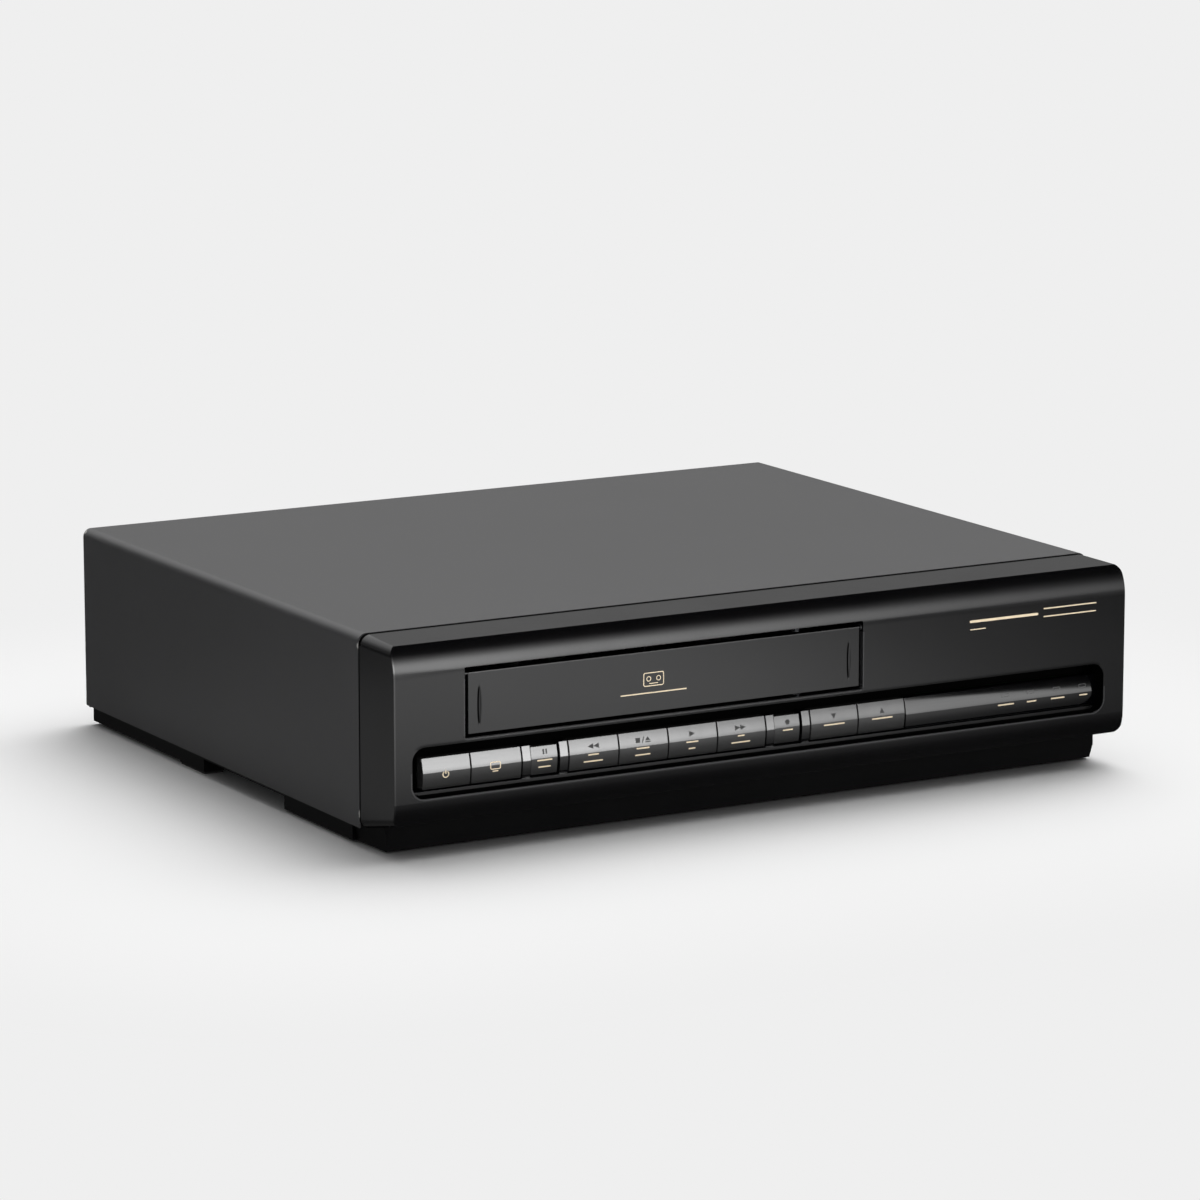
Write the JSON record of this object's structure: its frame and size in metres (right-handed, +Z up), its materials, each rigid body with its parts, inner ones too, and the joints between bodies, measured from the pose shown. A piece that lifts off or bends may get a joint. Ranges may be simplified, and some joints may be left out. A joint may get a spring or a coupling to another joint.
{
  "type": "video cassette recorder",
  "caption": "Front-loading video cassette recorder: low steel-covered box, moulded front with a flap door, a recessed row of push keys, a smoked window and a tape drive inside.",
  "frame": {"origin": "on the floor under the middle of the footprint", "axes": "X to the right seen from the front, Y from the front to the back, Z up"},
  "size_m": [0.43, 0.368, 0.1077],
  "materials": {
    "cover_paint": "fine textured dark grey paint",
    "panel_plastic": "fine grained, satin",
    "key_plastic": "smooth satin",
    "base_plastic": "grained",
    "smoke_window": "smoked, glossy",
    "lamp_red": "clear red",
    "zinc_steel": "zinc plated",
    "black_steel": "satin black",
    "deck_alloy": "cast and machined",
    "drum_alloy": "polished",
    "tinned_steel": "tinned",
    "board_green": "solder mask",
    "part_black": "moulded",
    "core_steel": "varnished laminations",
    "socket_metal": "nickel plated",
    "rubber": "matt",
    "reel_plastic": "satin",
    "white_plastic": "satin",
    "spring_steel": "drawn wire"
  },
  "bodies": {
    "chassis": {"top_cover": "cover_paint", "front_panel": "panel_plastic", "front_plinth": "base_plastic", "base_frame": "base_plastic", "bottom_plate": "zinc_steel", "rear_panel": "black_steel", "cover_screws": "black_steel", "rubber_feet": "rubber", "cord_gland": "rubber", "indicator_window": "smoke_window", "indicator_lamps": "lamp_red", "remote_sensor": "tinned_steel", "front_board": "board_green", "tact_switches": "part_black", "main_board": "board_green", "board_parts": "part_black", "power_board": "board_green", "transformer": "core_steel", "heat_sink": "deck_alloy", "tuner_can": "tinned_steel", "rf_modulator": "tinned_steel", "rf_connectors": "socket_metal", "phono_jacks": "socket_metal", "head_amp_can": "tinned_steel", "deck_plate": "deck_alloy", "carriage_brackets": "zinc_steel", "lower_drum": "drum_alloy", "capstan_housing": "deck_alloy", "erase_head": "drum_alloy", "audio_head": "drum_alloy", "loading_motor": "zinc_steel", "reel_belt": "rubber"},
    "door": {"cassette_door": "panel_plastic", "door_spring": "spring_steel"},
    "power_key": {"power_button": "key_plastic"},
    "source_key": {"source_button": "key_plastic"},
    "pause_key": {"pause_button": "key_plastic"},
    "rewind_key": {"rewind_button": "key_plastic"},
    "stop_key": {"stop_button": "key_plastic"},
    "play_key": {"play_button": "key_plastic"},
    "forward_key": {"forward_button": "key_plastic"},
    "record_key": {"record_button": "key_plastic"},
    "channel_down_key": {"channel_down_button": "key_plastic"},
    "channel_up_key": {"channel_up_button": "key_plastic"},
    "switch": {"channel_switch": "part_black"},
    "carriage": {"carriage_sled": "zinc_steel"},
    "holder": {"cassette_holder": "zinc_steel"},
    "drum": {"upper_drum": "drum_alloy"},
    "capstan": {"capstan": "deck_alloy"},
    "pulley": {"centre_pulley": "white_plastic"},
    "supply": {"supply_reel": "reel_plastic"},
    "take_up": {"take_up_reel": "reel_plastic"},
    "idler": {"idler_arm": "zinc_steel"},
    "idler_roller": {"idler_wheel": "rubber"},
    "cam": {"cam_gear": "white_plastic"},
    "pinch": {"pinch_arm": "zinc_steel"},
    "pinch_wheel": {"pinch_roller": "rubber"},
    "entry_slider": {"entry_guide": "zinc_steel"},
    "exit_slider": {"exit_guide": "zinc_steel"},
    "tension": {"tension_arm": "zinc_steel"}
  },
  "joints": [
    {"name": "door_swing", "type": "hinge", "parent": "chassis", "child": "door", "pos_m": [-0.06125, -0.18215, 0.09025], "axis": [1, 0, 0], "range_deg": [0, 85], "stiffness_Nm_per_rad": 0.004},
    {"name": "power_press", "type": "slide", "parent": "chassis", "child": "power_key", "axis": [0, 1, 0], "range_m": [0, 0.0008], "stiffness_N_per_m": 900},
    {"name": "source_press", "type": "slide", "parent": "chassis", "child": "source_key", "axis": [0, 1, 0], "range_m": [0, 0.0008], "stiffness_N_per_m": 900},
    {"name": "pause_press", "type": "slide", "parent": "chassis", "child": "pause_key", "axis": [0, 1, 0], "range_m": [0, 0.0008], "stiffness_N_per_m": 900},
    {"name": "rewind_press", "type": "slide", "parent": "chassis", "child": "rewind_key", "axis": [0, 1, 0], "range_m": [0, 0.0008], "stiffness_N_per_m": 900},
    {"name": "stop_press", "type": "slide", "parent": "chassis", "child": "stop_key", "axis": [0, 1, 0], "range_m": [0, 0.0008], "stiffness_N_per_m": 900},
    {"name": "play_press", "type": "slide", "parent": "chassis", "child": "play_key", "axis": [0, 1, 0], "range_m": [0, 0.0008], "stiffness_N_per_m": 900},
    {"name": "forward_press", "type": "slide", "parent": "chassis", "child": "forward_key", "axis": [0, 1, 0], "range_m": [0, 0.0008], "stiffness_N_per_m": 900},
    {"name": "record_press", "type": "slide", "parent": "chassis", "child": "record_key", "axis": [0, 1, 0], "range_m": [0, 0.0008], "stiffness_N_per_m": 900},
    {"name": "channel_down_press", "type": "slide", "parent": "chassis", "child": "channel_down_key", "axis": [0, 1, 0], "range_m": [0, 0.0008], "stiffness_N_per_m": 900},
    {"name": "channel_up_press", "type": "slide", "parent": "chassis", "child": "channel_up_key", "axis": [0, 1, 0], "range_m": [0, 0.0008], "stiffness_N_per_m": 900},
    {"name": "channel_switch_slide", "type": "slide", "parent": "chassis", "child": "switch", "axis": [1, 0, 0], "range_m": [0, 0.004]},
    {"name": "carriage_slide", "type": "slide", "parent": "chassis", "child": "carriage", "axis": [0, 1, 0], "range_m": [0, 0.061]},
    {"name": "holder_drop", "type": "slide", "parent": "carriage", "child": "holder", "axis": [0, 0, -1], "range_m": [0, 0.025]},
    {"name": "drum_spin", "type": "hinge", "parent": "chassis", "child": "drum", "pos_m": [-0.06125, 0.004, 0.028], "axis": [0.0872, 0, 0.9962], "continuous": true},
    {"name": "capstan_spin", "type": "hinge", "parent": "chassis", "child": "capstan", "pos_m": [0.00475, -0.03, 0.0205], "axis": [0, 0, 1], "continuous": true},
    {"name": "centre_pulley_spin", "type": "hinge", "parent": "chassis", "child": "pulley", "pos_m": [-0.06125, -0.075, 0.0225], "axis": [0, 0, 1], "continuous": true},
    {"name": "supply_reel_spin", "type": "hinge", "parent": "chassis", "child": "supply", "pos_m": [-0.10625, -0.1035, 0.028], "axis": [0, 0, 1], "continuous": true},
    {"name": "take_up_reel_spin", "type": "hinge", "parent": "chassis", "child": "take_up", "pos_m": [-0.01625, -0.1035, 0.028], "axis": [0, 0, 1], "continuous": true},
    {"name": "idler_swing", "type": "hinge", "parent": "chassis", "child": "idler", "pos_m": [-0.06125, -0.075, 0.028], "axis": [0, 0, 1], "range_deg": [-30, 30]},
    {"name": "idler_wheel_spin", "type": "hinge", "parent": "idler", "child": "idler_roller", "pos_m": [-0.06125, -0.093, 0.028], "axis": [0, 0, 1], "continuous": true},
    {"name": "cam_turn", "type": "hinge", "parent": "chassis", "child": "cam", "pos_m": [-0.14325, 0.012, 0.034], "axis": [0, 0, 1], "range_deg": [0, 270]},
    {"name": "pinch_swing", "type": "hinge", "parent": "chassis", "child": "pinch", "pos_m": [0.02875, -0.014, 0.028], "axis": [0, 0, -1], "range_deg": [0, 40.05]},
    {"name": "pinch_roller_spin", "type": "hinge", "parent": "pinch", "child": "pinch_wheel", "pos_m": [0.02455, -0.03493, 0.028], "axis": [0, 0, 1], "continuous": true},
    {"name": "entry_guide_slide", "type": "slide", "parent": "chassis", "child": "entry_slider", "axis": [-0.0968, 0.9953, 0], "range_m": [0, 0.0621]},
    {"name": "exit_guide_slide", "type": "slide", "parent": "chassis", "child": "exit_slider", "axis": [0.0968, 0.9953, 0], "range_m": [0, 0.0621]},
    {"name": "tension_swing", "type": "hinge", "parent": "chassis", "child": "tension", "pos_m": [-0.14525, -0.032, 0.028], "axis": [0, 0, 1], "range_deg": [-10, 10], "stiffness_Nm_per_rad": 0.05}
  ],
  "couplings": [
    {"joint": "centre_pulley_spin", "follows": "capstan_spin", "ratio": 0.78571},
    {"joint": "pinch_swing", "follows": "cam_turn", "ratio": 0.14815},
    {"joint": "entry_guide_slide", "follows": "cam_turn", "m_per_rad": 0.013157},
    {"joint": "exit_guide_slide", "follows": "cam_turn", "m_per_rad": 0.013157}
  ]
}
